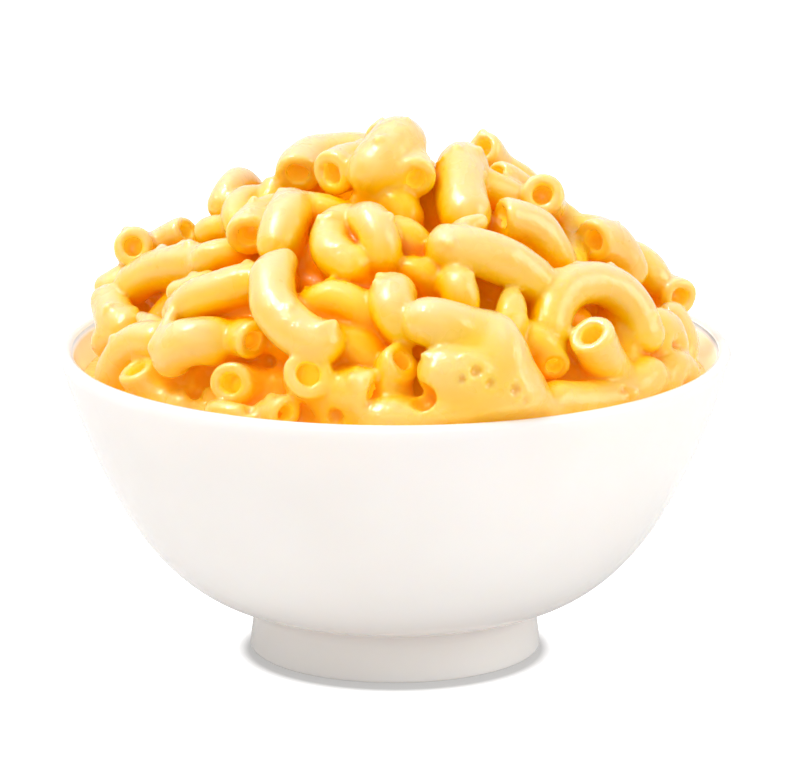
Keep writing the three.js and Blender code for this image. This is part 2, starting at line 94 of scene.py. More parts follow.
# The elbows of the front and the top, laid out on a front drawing in millimetres that faces the camera. Its x
# runs to the right, its y runs up, and its origin is AIM_HEIGHT up the bowl's axis. A row holds an elbow's
# first end, its middle and its last end, each as x, y and how far it lies from there towards the camera, then
# the elbow's radius and the form of its first and its last end.
FRONT_ELBOWS = [
    # The peak.
    [(-18.8, 61.8, 20), (-14, 66, 13), (-5.5, 65.5, 12), 4.3, OPEN, ROUND],
    [(-12.6, 62.6, 33), (-8.6, 64, 28), (-3, 64, 20), 4.4, OPEN, ROUND],
    [(-4, 63.7, 36), (-1.6, 66.4, 35), (1, 68.2, 29), 5.1, ROUND, ROUND],
    [(3.7, 61.2, 39), (3.1, 63.2, 35), (1.2, 66, 30), 4.2, OPEN, ROUND],
    [(-3.6, 69.3, 18), (-0.8, 67.8, 14), (1.5, 64, 8), 3.4, OPEN, ROUND],
    [(13.8, 54.5, 38), (12.8, 59, 33), (13.2, 63.4, 26), 5.2, ROUND, ROUND],
    [(16.8, 67.2, 14), (18.8, 64.5, 9), (20.3, 60, 4), 3.4, OPEN, ROUND],
    # The right shoulder.
    [(20, 62, 22), (23, 61, 19), (26.5, 57, 16), 3.1, OPEN, ROUND],
    [(18, 62.5, 10), (22.3, 61.6, 8), (27, 57.5, 6), 3.6, ROUND, ROUND],
    [(28.6, 58.5, 27), (29, 57, 19), (30, 54.5, 10), 4.1, OPEN, ROUND],
    [(20.8, 53.6, 38), (26, 52.3, 36), (31, 45.5, 33), 4.2, OPEN, ROUND],
    [(10.3, 48, 49), (19, 46.2, 49), (28.3, 39.8, 44), 4.5, ROUND, ROUND],
    [(38.3, 49.2, 22), (42.3, 48.2, 17), (45, 43.5, 14), 4.1, OPEN, ROUND],
    [(35.9, 50.5, 14), (37.8, 51.3, 11), (41, 50.3, 5), 3.3, ROUND, ROUND],
    [(50.6, 41.8, 6), (48.3, 44.9, 5), (43.5, 46.3, 4), 3.3, ROUND, ROUND],
    [(55.8, 38, 8), (53, 39, 3), (48, 39.5, -5), 3.8, OPEN, ROUND],
    # The right side, down to the rim.
    [(30, 32.8, 48), (39.3, 41.1, 39), (48.2, 31.5, 35), 4.2, ROUND, ROUND],
    [(38, 31.6, 52), (40, 27.5, 47), (42.3, 22.5, 40), 4.4, OPEN, ROUND],
    [(31.8, 17.8, 53), (40.5, 18.2, 46), (48.8, 22.5, 37), 4.2, ROUND, ROUND],
    [(50, 28.8, 30), (52.7, 31.6, 25), (53, 27, 24), 3.9, ROUND, ROUND],
    [(54, 34, 12), (55.6, 31, 13), (55.3, 27, 16), 3.1, ROUND, ROUND],
    [(52.3, 20.5, 32), (55.5, 23.5, 25), (56, 20.5, 24), 3.3, ROUND, ROUND],
    [(31.3, 25.2, 52), (28.5, 26.8, 48), (24.5, 28, 46), 3.2, OPEN, ROUND],
    # The left shoulder.
    [(-33.2, 56.5, 14), (-32, 59.2, 12), (-28, 58.3, 6), 3.2, ROUND, ROUND],
    [(-30.5, 52, 24), (-29.8, 56.6, 19), (-25.5, 56.3, 14), 3.1, ROUND, ROUND],
    [(-28.2, 50, 36), (-26.3, 53, 30), (-21, 54.5, 24), 4.5, OPEN, ROUND],
    [(-22.6, 49, 42), (-21.5, 52.5, 40), (-20.2, 55.3, 34), 4.5, ROUND, ROUND],
    [(-17, 55.6, 32), (-13, 55, 34), (-8.8, 53, 34), 3.6, ROUND, ROUND],
    [(-51, 48.2, 10), (-50, 47.7, 2), (-47, 47.5, -8), 3.9, OPEN, ROUND],
    [(-40.6, 51.5, 8), (-43, 50.2, 6), (-47, 47.5, 4), 3.2, OPEN, ROUND],
    [(-37.2, 45, 27), (-35.3, 46.2, 28), (-31, 46.2, 28), 3.2, ROUND, ROUND],
    [(-55.7, 40, 6), (-53.5, 41.2, 6), (-49, 43, 4), 3.2, ROUND, ROUND],
    [(-51, 40.7, 12), (-46, 43.6, 17), (-38, 44.5, 24), 4.1, ROUND, ROUND],
    [(-55.8, 37, 12), (-54.6, 34.5, 16), (-52.3, 32, 20), 4.0, ROUND, ROUND],
    # The left side, down to the rim.
    [(-44, 33.5, 34), (-33.5, 39.5, 43), (-23, 41, 45), 4.1, SLIM, ROUND],
    [(-43.2, 27.3, 43), (-39.8, 29.8, 46), (-35.5, 29.8, 46), 4.6, ROUND, ROUND],
    [(-46.8, 29.6, 35), (-52, 28, 30), (-54.6, 22.5, 27), 3.8, ROUND, ROUND],
    [(-51, 24.3, 37), (-47.5, 20, 36), (-41, 16.5, 41), 3.8, OPEN, ROUND],
    [(-32.2, 21.6, 53), (-27.5, 20.9, 48), (-20.5, 20.2, 49), 4.3, OPEN, ROUND],
    [(-16.8, 23.3, 63), (-16.7, 22, 57), (-16.5, 19, 51), 4.6, OPEN, ROUND],
    [(-4.2, 19, 62), (-8.5, 19.9, 60), (-13.5, 20, 56), 4.6, OPEN, ROUND],
    [(-20.8, 15.2, 60), (-23.4, 15.6, 57), (-26.5, 13, 54), 3.3, OPEN, ROUND],
    [(-27.3, 29.8, 52), (-30, 30.3, 48), (-33.5, 28.5, 43), 3.5, OPEN, ROUND],
    # The middle, from the top down to the rim.
    [(-5, 56.6, 33), (-0.5, 56.6, 36), (1.9, 53.2, 37), 3.9, ROUND, ROUND],
    [(-9.5, 52.5, 42), (-12.6, 48.3, 47), (-8.8, 44.5, 50), 4.1, ROUND, ROUND],
    [(-5.8, 53, 45), (-3, 50, 49), (-2.8, 45.5, 48), 3.8, ROUND, ROUND],
    [(-1.5, 49.8, 43), (2.5, 49.6, 44), (5, 46.8, 43), 3.7, ROUND, ROUND],
    [(-19.6, 46.5, 47), (-23, 35.5, 56), (-14.2, 29.6, 60), 4.5, SLIM, ROUND],
    [(-15.8, 35.8, 52), (-11, 37.5, 54), (-4.5, 31, 54), 3.9, ROUND, ROUND],
    [(-13, 30, 55), (-8.5, 29, 57), (-3.8, 24.5, 57), 3.8, ROUND, ROUND],
    [(-0.3, 38.5, 56), (0.2, 35, 59), (4.5, 31.5, 56), 4.5, ROUND, ROUND],
    [(6.3, 33.5, 63), (11, 32.8, 63), (17.5, 30, 58), 4.6, ROUND, ROUND],
    [(11, 41, 50), (12.7, 39.8, 53), (12.3, 35.5, 51), 3.6, ROUND, ROUND],
    [(22.3, 39.3, 49), (22.5, 34.5, 53), (21.5, 28, 52), 3.3, SLIM, ROUND],
    [(18.6, 33.5, 59), (20.3, 28, 63), (25, 20.5, 59), 4.6, SLIM, ROUND],
    [(9.3, 23.5, 65), (14, 23.8, 65), (20, 21.5, 62), 4.0, ROUND, ROUND],
    [(1.8, 25.8, 63), (-0.3, 22.3, 60), (0.5, 17, 60), 3.8, OPEN, ROUND],
    [(11, 17, 62), (17, 17.2, 61), (25, 18, 58), 4.3, ROUND, ROUND],
    # Behind the peak.
    [(-9, 61.5, 2), (-4, 62.6, -4), (0, 60.5, -14), 4.3, ROUND, OPEN],
    [(2, 60, 5), (7, 58.8, -3), (13.5, 60, -5), 4.2, OPEN, ROUND],
    [(12.5, 62.5, 10), (18, 61, 5), (21.5, 57, -2), 4.3, ROUND, OPEN],
    [(6, 59.2, -11), (12, 60, -13), (17, 57, -20), 4.3, ROUND, ROUND],
    [(-13, 60, -6), (-9, 60.5, -14), (-10, 56.5, -23), 4.3, OPEN, ROUND],
    [(24, 55, -4), (22, 56.5, -11), (26, 53, -17), 4.2, OPEN, ROUND],
    [(5, 56, 14), (10, 57, 8), (16, 55, 4), 4.0, ROUND, ROUND],
]

# Smaller things that show between those.
MORE_ELBOWS = [
    [(33, 53, 11), (33.5, 49, 16), (34, 44, 24), 3.5, ROUND, ROUND],
    [(16.2, 53, 45), (14, 52.3, 46), (11.5, 50.5, 46), 1.8, ROUND, ROUND],
    [(-36.2, 50.8, 17), (-35, 51.5, 18), (-31.5, 51, 20), 2.8, ROUND, ROUND],
    [(-23.2, 60.3, 16), (-24, 57.5, 18), (-25, 54, 20), 2.7, OPEN, ROUND],
    [(-43, 39.2, 30), (-40.3, 39.8, 32), (-36.5, 41, 32), 2.4, OPEN, ROUND],
    [(-49.8, 34.6, 26), (-47.8, 33.3, 30), (-44, 31, 33), 2.2, SLIM, ROUND],
    [(-41.6, 37.2, 39), (-44.8, 32.3, 43), (-47.3, 28.3, 44), 1.3, ROUND, ROUND],
    [(-35.2, 16, 54), (-32.5, 15.5, 56), (-28, 14, 57), 2.3, ROUND, ROUND],
    [(-56, 29.5, 17), (-55, 30.5, 18), (-52.5, 28.5, 20), 3.2, ROUND, ROUND],
    [(3, 43.3, 48), (5.2, 42.8, 49), (6.8, 39.5, 47), 3.1, ROUND, ROUND],
    [(-1, 14.5, 63), (6, 13.8, 63), (14, 14.5, 62), 3.5, ROUND, ROUND],
    [(42.5, 34.5, 33), (43.8, 31, 35), (44.8, 26, 37), 3.2, ROUND, ROUND],
    [(26, 31.5, 51), (28, 30, 52), (31, 28.5, 49), 2.3, ROUND, ROUND],
    [(18, 59.5, 26), (21, 58.5, 24), (23.5, 56.5, 19), 3.6, ROUND, ROUND],
]

# Thick sauce that has run between the elbows: the two ends of each run on the front drawing, and its radius.
SAUCE_RUNS = [
    [(-3.6, 62.6, 36), (-0.6, 63, 36), 3.2],
    [(10.4, 23.6, 65), (14, 23.8, 65), 4.6],
    [(18.5, 29, 60), (21, 19, 62), 5.2],
    [(13.5, 20.5, 63), (23, 19, 62), 4.4],
    [(9, 15.5, 64), (28, 16, 57), 3.6],
    [(-3, 14, 63), (9, 13.5, 64), 3.0],
    [(22, 26, 54), (28, 29, 47), 2.4],
    [(-12, 15, 58), (-5, 14, 60), 2.6],
    [(46.5, 21, 38), (53, 23, 29), 2.4],
]
SAUCE_BLEND = 3.5  # over which it joins what it lies on

# Bubbles that burst in it and gaps that it left, each the x and y where it shows and its radius.
PITS = [
    (16, 24, 1.4), (13, 22.4, 0.9), (18.6, 21.6, 0.9), (23.6, 20.4, 1.2), (25.6, 18.2, 0.9),
    (44.5, 20.4, 0.8), (5.6, 18.8, 2.7), (-11.7, 15.1, 1.6), (-28.4, 16.6, 1.1), (-24.5, 25.9, 1.4),
    (-36.5, 23.5, 3.4), (-38.6, 20.2, 2.0), (5.0, 27.6, 1.9),
]

# Beads of sauce on the elbows, all over the mound.
BEAD_COUNT = 150
BEAD_RADII = (0.5, 1.1)

# A pit or a bead lies where a line of HIT_STEPS points first meets the heap. For a pit the line runs away
# from the camera between PIT_DEPTHS of the front drawing, and for a bead straight down, BEAD_STEP at a time.
HIT_STEPS = 400
PIT_DEPTHS = (90, 20)
PIT_BLEND = 0.4
BEAD_STEP = 0.2
BEAD_BLEND = 0.8
BALL_MARGIN = 1.5  # of the grid that is worked out round each

SEED = 71  # of the random numbers, with the three numbers after it

# The elbows of the sides and the back, each the least crowded of many tries all over the mound.
REST_COUNT = 30
TRIES = 150
REST_LENGTH = 27
REST_REACH = 53  # of their middles, from the bowl's axis
REST_LIFT = (-4, 0)  # from the mound
REST_BEND = (0.9, 2.6)  # in radians
REST_ROLL = (-0.4, 1.2)  # of the bend's plane out of the slope, in radians
REST_ENDS = [(OPEN, ROUND), (ROUND, OPEN), (OPEN, OPEN), (ROUND, SLIM)]  # in turn
ARC_STEPS = 5  # between the points of an elbow that a try compares
CLEAR = 9.2  # a try loses for each pair of its points and a laid elbow's that lie closer
REST_FRONT = -4  # the y that they stay behind

# The heap's top edge on the front drawing, as x and y, which no elbow laid by the rule passes.
SKYLINE = (
    (-60, -54, -45, -37, -28, -18, -8, 3, 6.8, 12, 20, 30, 34, 42, 50, 58, 61),
    (35, 46, 49, 52, 58, 65, 68, 67, 64, 65, 63, 57, 52, 51, 44, 35, 27),
)
SKY_MARGIN = 4.6
SKY_COST = 60

# The elbows under all those, which show in the gaps.
DEEP_COUNT = 60
DEEP_LIFT = (-11, -4)

# An elbow of cooked macaroni. The radii of those that a rule lays lie between REST_RADII.
REST_RADII = (3.6, 4.6)
BORE_SHARE = 0.47  # of an elbow's radius
BORE_DEPTH = 3.2  # to where sauce fills it
BORE_END = 0.3  # how far past the cut the bore still counts as one
BORE_ROUNDING = 0.7  # of the edge between the bore and the cut
END_ROUNDING = 0.9
SLIM_LENGTH = 9
SLIM_POWER = 1.5
SLIM_SHARE = 0.42  # of an elbow's radius, at a slim tip
BOX_STEPS = 12  # between the points of an elbow that its box is put round
BOX_MARGIN = 1
WAVES = ((9, 0.5), (3.5, 0.16))  # that bend the elbows out of true: how long and how strong

# The sauce under all the elbows, CORE_DEPTH below the mound but no higher than CORE_TOP, and level beyond
# CORE_REACH from the axis. CORE_SLOPE turns a height over it into about a distance from it.
CORE_DEPTH = 7
CORE_TOP = 86
CORE_REACH = 61
CORE_SLOPE = 0.75
FILLET = 0.9  # of sauce where two elbows meet
RIM_ROUNDING = 1.2  # of the heap where it would pass the bowl's wall

# The rest of that sauce, down in the bowl: its top as radius and height, from the wall to the axis.
POOL_TOP = [(54, 54), (40, 58), (20, 70), (0, 74)]
POOL_STEPS = 24  # of its outline along the bowl's wall
POOL_SIDES = 96

# Sauce clogs the gaps where the share of pasta within about CLOG_REACH is over CLOG_AT.
CLOG_REACH = 2.4
CLOG_AT = 0.74
CLOG_SLOPE = 9

FAR = 20  # further than matters from an elbow

# The grid on which the heap is worked out.
CELL = 0.6
BAND = 3.0  # of distances on both sides of the surface that the mesh is made from
ADAPTIVITY = 0.04  # of the mesh, whose faces are larger where it bends less
HEAP_LOW = np.array((-65.4, -65.4, 50.0))
HEAP_HIGH = np.array((65.4, 65.4, 109.2))
HEAP_UNDERSIDE = HEAP_LOW[2] + 2 * CELL

# The material reads two shares of pasta round each point of the surface, as blurs that reach so many cells.
CROWDED_REACH = 3
HIDDEN_REACH = 8

# From here on, lengths are in metres, and colours of three numbers in sRGB from 0 to 255.

# The glaze: the heights between which the foot's tint ends, and between which the wall grows thin enough for
# light to shine through it, shown as a painted glow on its inner side, and how strong that glow is from the
# left of the bowl to its right.
FOOT_TINT = (0.006, 0.02)
WALL_GLOW_HEIGHTS = (0.048, 0.056)
WALL_GLOW_X = (-0.06, 0.06)
WALL_GLOW = (0.08, 0.3)

# The pasta's painted shade, deeper and more orange with more and more pasta round a point: between which
# shares each colour comes in.
PAINTED_SHADE_COLOURS = [
    (0.3, 0.45, (255, 206, 0)),
    (0.45, 0.6, (248, 170, 0)),
    (0.6, 0.85, (250, 134, 0)),
]
OPEN_AIR = (0.25, 0.5)  # the shares between which a point stops being out in the open
COVERED = (0.3, 0.6)  # the shares between which it loses its film of sauce and its reflections take a painted orange shade
BY_RIM = (0.0605, 0.0685)  # the heights between which the heap leaves its painted warm glow by the bowl's rim
RIM_PAINTED_LIGHT = 0.8  # how much of that painted glow's colour it takes there
# The strengths of the painted glow, an emission, in the gaps, in the bores and by the rim.
GLOW_HIDDEN = 0.06
GLOW_BORE = 0.22
GLOW_RIM = 0.17
SCATTER_SCALE = 0.004  # of the light inside the glaze and the pasta

# The studio.
WHITE = (1.0, 1.0, 1.0, 1.0)
WORLD_LIGHT = 0.5  # of the white studio round the bowl, which the camera sees as 1
WORLD_MIRRORED = 0.4  # of the room in front of the backdrop, in reflections
BACKDROP = (-0.1, 0.5)  # how far a reflection points away from the camera where the backdrop comes in
FLOOR_HALF = 4.0
FLOOR_GREY = (0.4, 0.4, 0.4, 1)
SHADE_CENTRE = (0, -0.0035, 0)
SHADE_RADII = (0.0285, 0.0315)  # from there, between which the floor seen by the camera turns from a painted shadow to white
FLOOR_GLOW = (0.25, 1.0)
# What the floor adds to the light that it reflects on the bowl, near the foot and away from it.
BOUNCE_RADII = (0.03, 0.09)
FLOOR_BOUNCE = (0.27, 0.54)

# The lamps: where each one is, how wide its disk is and how many watts it has.
LAMPS = {
    "top": ((-0.4, 0.0, 1.0), 1.5, 4.8),
    "right": ((0.95, -0.3, 0.45), 0.8, 3.8),
    "front": ((-0.2, -1.2, 0.6), 1.2, 2.4),
    "sparkle": ((-0.45, -0.15, 1.0), 0.3, 4.8),
}
LAMP_AIM = (0, 0, 0.06)


def add_object(name, data):
    """A new object in the scene."""
    thing = bpy.data.objects.new(name, data)
    bpy.context.scene.collection.objects.link(thing)
    return thing


# ---------------------------------------------------------------------------------------------- the layout

class Dice:
    """Numbers that are the same on every run."""

    FACTOR = 48271
    MODULUS = 2147483647

    def __init__(self, seed):
        self.state = seed

    def random(self):
        self.state = (self.state * self.FACTOR) % self.MODULUS
        return self.state / self.MODULUS

    def between(self, low, high):
        return low + (high - low) * self.random()


def mound_top(radius):
    return BOWL_HEIGHT + MOUND_HEIGHT * (1 - (radius / MOUND_RADIUS) ** MOUND_POWER)


def camera_axes():
    """The camera's place and its directions ahead and up, in the drawing's frame."""
    ahead = Vector((0, math.cos(EYE_ELEVATION), -math.sin(EYE_ELEVATION)))
    up = Vector((0, math.sin(EYE_ELEVATION), math.cos(EYE_ELEVATION)))
    return Vector((0, 0, AIM_HEIGHT)) - ahead * EYE_DISTANCE, ahead, up


def off_drawing(x, y, depth):
    """The point that shows at (x, y) of the drawing and lies this far towards the camera."""
    eye, ahead, up = camera_axes()
    line = ahead + (Vector((x, 0, 0)) + up * y) / EYE_DISTANCE
    return eye + line * (EYE_DISTANCE - depth)


def on_drawing(points):
    """The x and y on the drawing of an array of points."""
    eye, ahead, up = (np.array(axis) for axis in camera_axes())
    away = (points - eye) @ ahead / EYE_DISTANCE
    return points[:, 0] / away, (points - eye) @ up / away


class Arc:
    """The arc through three points, with its centre, its axes u, v and w, its radius and half its angle."""

    def __init__(self, first, middle, last):
        a, b = middle - first, last - first
        axis = a.cross(b)
        size = 2 * axis.length_squared
        self.centre = (first + axis.cross(a) * (b.length_squared / size)
                       + b.cross(axis) * (a.length_squared / size))
        self.w = axis.normalized()
        spoke, end = first - self.centre, last - self.centre
        angle = math.atan2(spoke.cross(end).dot(self.w), spoke.dot(end)) % (2 * math.pi)
        self.half = angle / 2
        self.radius = spoke.length
        self.u = Matrix.Rotation(self.half, 3, self.w) @ spoke.normalized()
        self.v = self.w.cross(self.u)

    def point(self, t):
        """t runs from -1 at the first end to 1 at the last."""
        turn = t * self.half
        return self.centre + (self.u * math.cos(turn) + self.v * math.sin(turn)) * self.radius

    def samples(self):
        return [self.point(2 * i / ARC_STEPS - 1) for i in range(ARC_STEPS + 1)]


def lay_elbow(radius, azimuth, lift, turn, bend, roll):
    """An elbow with its middle at a point of the mound, turned and bent within the mound's slope."""
    steepness = MOUND_HEIGHT * MOUND_POWER * (radius / MOUND_RADIUS) ** (MOUND_POWER - 1) / MOUND_RADIUS
    slope = math.atan(steepness)
    out = Vector((math.cos(azimuth), math.sin(azimuth), 0))
    normal = out * math.sin(slope) + Vector((0, 0, math.cos(slope)))
    middle = out * radius + Vector((0, 0, mound_top(radius))) + normal * lift
    along = Matrix.Rotation(turn, 3, normal) @ Vector((-out.y, out.x, 0))
    inward = Matrix.Rotation(roll, 3, along) @ along.cross(normal)
    reach = REST_LENGTH / bend * math.sin(bend / 2)
    sag = REST_LENGTH / bend * (1 - math.cos(bend / 2))
    return Arc(middle - along * reach + inward * sag, middle, middle + along * reach + inward * sag)


def scattered(count, lifts, front, dice, laid):
    """Elbows laid one by one behind a front line, each the least crowded of its tries."""
    arcs = []
    for _ in range(count):
        best = None
        there = np.array(laid)[None]
        for _ in range(TRIES):
            arc = lay_elbow(
                REST_REACH * math.sqrt(dice.random()),
                dice.between(0, 2 * math.pi),
                dice.between(*lifts),
                dice.between(0, math.pi),
                dice.between(*REST_BEND),
                dice.between(*REST_ROLL),
            )
            points = np.array(arc.samples())
            apart = np.linalg.norm(points[:, None] - there, axis=2)
            x, y = on_drawing(points)
            over = np.maximum(0, y + SKY_MARGIN - np.interp(x, *SKYLINE))
            over += np.maximum(0, front - points[:, 1])
            cost = (np.maximum(0, CLEAR - apart) ** 2).sum() + SKY_COST * over.sum()
            if best is None or cost < best[0]:
                best = (cost, arc)
        arcs.append(best[1])
        laid.extend(best[1].samples())
    return arcs


def drawn(rows):
    return [Elbow(Arc(*(off_drawing(*end) for end in row[:3])), *row[3:]) for row in rows]


def all_elbows():
    front = drawn(FRONT_ELBOWS)
    laid = [point for elbow in front for point in elbow.arc.samples()]
    rest = scattered(REST_COUNT, REST_LIFT, REST_FRONT, Dice(SEED), laid)
    more = drawn(MORE_ELBOWS)
    laid += [point for elbow in more for point in elbow.arc.samples()]
    deep = scattered(DEEP_COUNT, DEEP_LIFT, -RIM_RADIUS, Dice(SEED + 1), laid)
    sizes = Dice(SEED + 2)
    ruled = [Elbow(arc, sizes.between(*REST_RADII), *REST_ENDS[i % len(REST_ENDS)])
             for i, arc in enumerate(rest)]
    ruled += [Elbow(arc, sizes.between(*REST_RADII), ROUND, ROUND) for arc in deep]
    return front + more + ruled


# ---------------------------------------------------------------------------------------------- the bowl

def wall_line(depth, steps):
    """The wall's outline from the lip down to the foot, moved inwards by depth(t)."""
    ends = [np.array(p, float) for p in
            ((RIM_RADIUS, BOWL_HEIGHT - LIP_RADIUS), UPPER_BULGE, LOWER_BULGE, (NECK_RADIUS, NECK_HEIGHT))]
    line = []
    for t in np.linspace(0, 1, steps + 1):
        s = 1 - t
        at = s**3 * ends[0] + 3 * s**2 * t * ends[1] + 3 * s * t**2 * ends[2] + t**3 * ends[3]
        along = s**2 * (ends[1] - ends[0]) + 2 * s * t * (ends[2] - ends[1]) + t**2 * (ends[3] - ends[2])
        along /= np.linalg.norm(along)
        line.append(at + depth(t) * np.array((along[1], -along[0])))
    return np.array(line)


def hollow_line(extra, steps=WALL_STEPS):
    """The outline of the bowl's hollow, from the rim to the axis, moved inwards by extra."""
    wall = wall_line(lambda t: 2 * LIP_RADIUS + (BASE_WALL - 2 * LIP_RADIUS) * t + extra, steps)
    floor = [(FLOOR_FLAT, FLOOR_HEIGHT + FLOOR_DISH + extra), (0, FLOOR_HEIGHT + extra)]
    return np.vstack([wall, floor])


def turned(name, line, sides):
    """A mesh turned about the z axis from an outline of (radius, height) that starts and ends on the axis."""
    angles = np.linspace(0, 2 * math.pi, sides, endpoint=False)
    rings = [[(r * math.cos(a), r * math.sin(a), z) for a in angles] for r, z in line[1:-1]]
    verts = [(0, 0, line[0][1]), *[p for ring in rings for p in ring], (0, 0, line[-1][1])]
    last = len(rings) - 1

    def at(i, j):
        return 1 + i * sides + j % sides

    faces = [(0, at(0, j + 1), at(0, j)) for j in range(sides)]
    faces += [(at(i, j), at(i, j + 1), at(i + 1, j + 1), at(i + 1, j))
              for i in range(last) for j in range(sides)]
    faces += [(at(last, j), at(last, j + 1), len(verts) - 1) for j in range(sides)]
    mesh = bpy.data.meshes.new(name)
    mesh.from_pydata((np.array(verts) * MM).tolist(), [], faces)
    mesh.shade_smooth()
    return add_object(name, mesh)


def round_corner(start, corner, end, radius, steps=CORNER_STEPS):
    """The points of a rounded corner of an outline."""
    start, corner, end = (np.array(p, float) for p in (start, corner, end))
    a = corner + radius * (start - corner) / np.linalg.norm(start - corner)
    b = corner + radius * (end - corner) / np.linalg.norm(end - corner)
    return [(1 - t) ** 2 * a + 2 * t * (1 - t) * corner + t**2 * b for t in np.linspace(0, 1, steps + 1)]


def make_bowl():
    outer = wall_line(lambda t: 0, WALL_STEPS)[::-1]
    lip_centre = np.array((RIM_RADIUS - LIP_RADIUS, BOWL_HEIGHT - LIP_RADIUS))
    lip = [lip_centre + LIP_RADIUS * np.array((math.cos(a), math.sin(a)))
           for a in np.linspace(0, math.pi, LIP_STEPS + 1)[1:-1]]
    inside = FOOT_RADIUS - FOOT_RING_WIDTH
    roof = (inside - RECESS_DRAFT, RECESS_HEIGHT)
    side = (NECK_RADIUS, NECK_HEIGHT / 2)
    neck = (NECK_RADIUS, NECK_HEIGHT)
    foot = [(0, RECESS_HEIGHT)]
    foot += round_corner((0, RECESS_HEIGHT), roof, (inside, 0), RECESS_ROUNDING)
    foot += round_corner(roof, (inside, 0), (FOOT_RADIUS, 0), FOOT_EDGE)
    foot += round_corner((inside, 0), (FOOT_RADIUS, 0), side, FOOT_EDGE)
    foot += round_corner(side, neck, outer[NECK_SKIP], NECK_FILLET, NECK_STEPS)
    line = np.vstack([foot, outer[NECK_SKIP:], lip, hollow_line(0)])
    bowl = turned("porcelain_bowl", line, BOWL_SIDES)
    bowl.data.materials.append(porcelain())
    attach(bowl, "root")
    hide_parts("bowl")


# ---------------------------------------------------------------------------------------------- the heap

def grid_axes():
    return [np.arange(low, high, CELL, dtype=np.float32) for low, high in zip(HEAP_LOW, HEAP_HIGH)]


def soft_noise(shape, cell, rng):
    """Smooth noise from -1 to 1 over the grid, with a new random value every cell steps."""
    values = rng.uniform(-1, 1, [math.ceil(n / cell) + 2 for n in shape]).astype(np.float32)
    for axis, n in enumerate(shape):
        at = np.arange(n) / cell
        low = at.astype(int)
        t = at - low
        t = (t * t * (3 - 2 * t)).astype(np.float32).reshape([-1 if i == axis else 1 for i in range(3)])
        values = np.take(values, low, axis) * (1 - t) + np.take(values, low + 1, axis) * t
    return values


def waved(axis, rng):
    """The grid's x, y or z, bent by the waves."""
    for length, strength in WAVES:
        axis = axis + soft_noise(axis.shape, length / CELL, rng) * np.float32(strength)
    return axis


def smooth_min(a, b, width):
    """The lower of two distances, rounded where they are within width of each other."""
    h = np.maximum(width - np.abs(a - b), 0) / width
    return np.minimum(a, b) - h * h * width / 4


class Elbow:
    """An arc with a tube's radius and the forms of its two ends."""

    def __init__(self, arc, radius, first, last):
        self.arc = arc
        self.radius = radius
        self.bore = radius * BORE_SHARE
        self.ends = (first, last)

    def reach(self):
        """The low and the high corner of a box that holds the elbow."""
        points = np.array([self.arc.point(t) for t in np.linspace(-1, 1, BOX_STEPS + 1)])
        margin = 2 * self.radius + BOX_MARGIN
        return points.min(axis=0) - margin, points.max(axis=0) + margin

    def where(self, x, y, z):
        """A point's distance from the middle line, how far it is past the nearer end along the line (less
        than zero within the elbow), and whether that end is the last one."""
        arc = self.arc
        x, y, z = x - arc.centre.x, y - arc.centre.y, z - arc.centre.z
        u = x * arc.u.x + y * arc.u.y + z * arc.u.z
        v = x * arc.v.x + y * arc.v.y + z * arc.v.z
        w = x * arc.w.x + y * arc.w.y + z * arc.w.z
        side = np.abs(v)
        end_u, end_v = math.cos(arc.half), math.sin(arc.half)
        past = side * end_u - u * end_v
        beyond = np.arctan2(side, u) > arc.half
        out = np.where(beyond, u * end_u + side * end_v, np.hypot(u, side)) - arc.radius
        along = np.where(beyond, np.maximum(past, 0), (np.arctan2(side, u) - arc.half) * arc.radius)
        along = np.where(beyond & (past < 0), FAR, along)
        return np.hypot(out, w), along, v > 0

    def end_is(self, form, last):
        return np.where(last, self.ends[1] == form, self.ends[0] == form)

    def distance(self, x, y, z):
        """Signed distance to the elbow's surface, and how far inside its bore a point is."""
        from_line, along, last = self.where(x, y, z)
        slimness = self.end_is(SLIM, last) * np.clip(1 + along / SLIM_LENGTH, 0, 1) ** SLIM_POWER
        radius = self.radius * (1 - (1 - SLIM_SHARE) * slimness)
        tip = self.end_is(SLIM, last) * SLIM_SHARE * self.radius
        rounded = np.hypot(from_line, np.maximum(along + tip, 0)) - radius
        wall, end = from_line - radius + END_ROUNDING, along + END_ROUNDING
        cut = np.hypot(np.maximum(wall, 0), np.maximum(end, 0))
        cut = cut + np.minimum(np.maximum(wall, end), 0) - END_ROUNDING
        is_open = self.end_is(OPEN, last)
        bore = self.bore - np.hypot(from_line, np.maximum(-BORE_DEPTH - along, 0))
        bore = np.where(is_open & (along < FAR), bore, -FAR)
        solid = np.where(is_open, cut, rounded)
        return -smooth_min(-solid, -bore, BORE_ROUNDING), np.where(along < BORE_END, bore, -FAR)


def run_distance(x, y, z, first, last, radius):
    """Signed distance to a run of sauce with round ends."""
    along = last - first
    share = (x - first.x) * along.x + (y - first.y) * along.y + (z - first.z) * along.z
    share = np.clip(share / along.length_squared, 0, 1)
    out = [at - start - share * step for at, start, step in zip((x, y, z), first, along)]
    return np.sqrt(out[0] ** 2 + out[1] ** 2 + out[2] ** 2) - radius


def near(low, high):
    """The part of the grid between two corners."""
    start = np.maximum(((low - HEAP_LOW) / CELL).astype(int), 0)
    stop = np.maximum(((high - HEAP_LOW) / CELL).astype(int) + 1, 0)
    return tuple(slice(a, b) for a, b in zip(start, stop))


def first_hit(field, start, step):
    """The first of a line's points that is inside the heap, or None."""
    points = np.array(start) + np.arange(HIT_STEPS)[:, None] * np.array(step)
    inside = np.flatnonzero(at_points(field, (points - HEAP_LOW) / CELL) < 0)
    return points[inside[0]] if len(inside) else None


